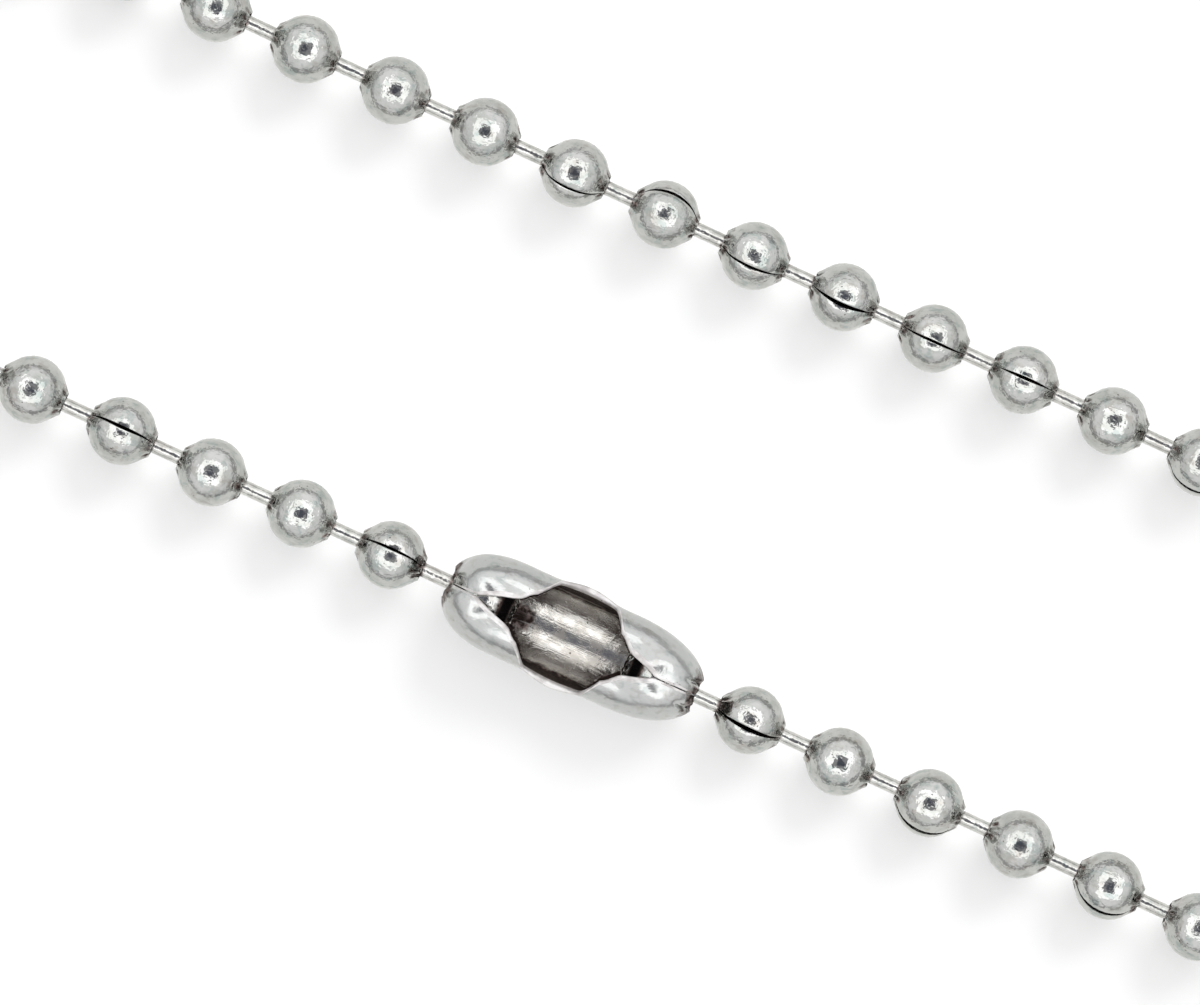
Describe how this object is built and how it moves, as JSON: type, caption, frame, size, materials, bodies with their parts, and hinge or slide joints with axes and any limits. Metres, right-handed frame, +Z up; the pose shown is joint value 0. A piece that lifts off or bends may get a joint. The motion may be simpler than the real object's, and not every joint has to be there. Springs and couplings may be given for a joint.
{
  "type": "ball chain necklace",
  "caption": "Ball chain necklace lying flat as one long closed loop: hollow seamed beads on headed pins, joined by an open folded clasp.",
  "frame": {"origin": "middle of the loop's box, on the surface that it lies on", "axes": "+X along the two strands, +Y from the strand with the clasp to the plain strand, +Z up"},
  "size_m": [0.2714, 0.0238, 0.0043],
  "materials": {
    "bead_metal": "polished nickel plate, finely scratched",
    "pin_metal": "drawn wire, nickel plated",
    "clasp_metal": "polished nickel plate outside, brushed inside"
  },
  "bodies": {
    "root": {"beads": "bead_metal", "pins": "pin_metal", "clasp": "clasp_metal"}
  },
  "joints": []
}
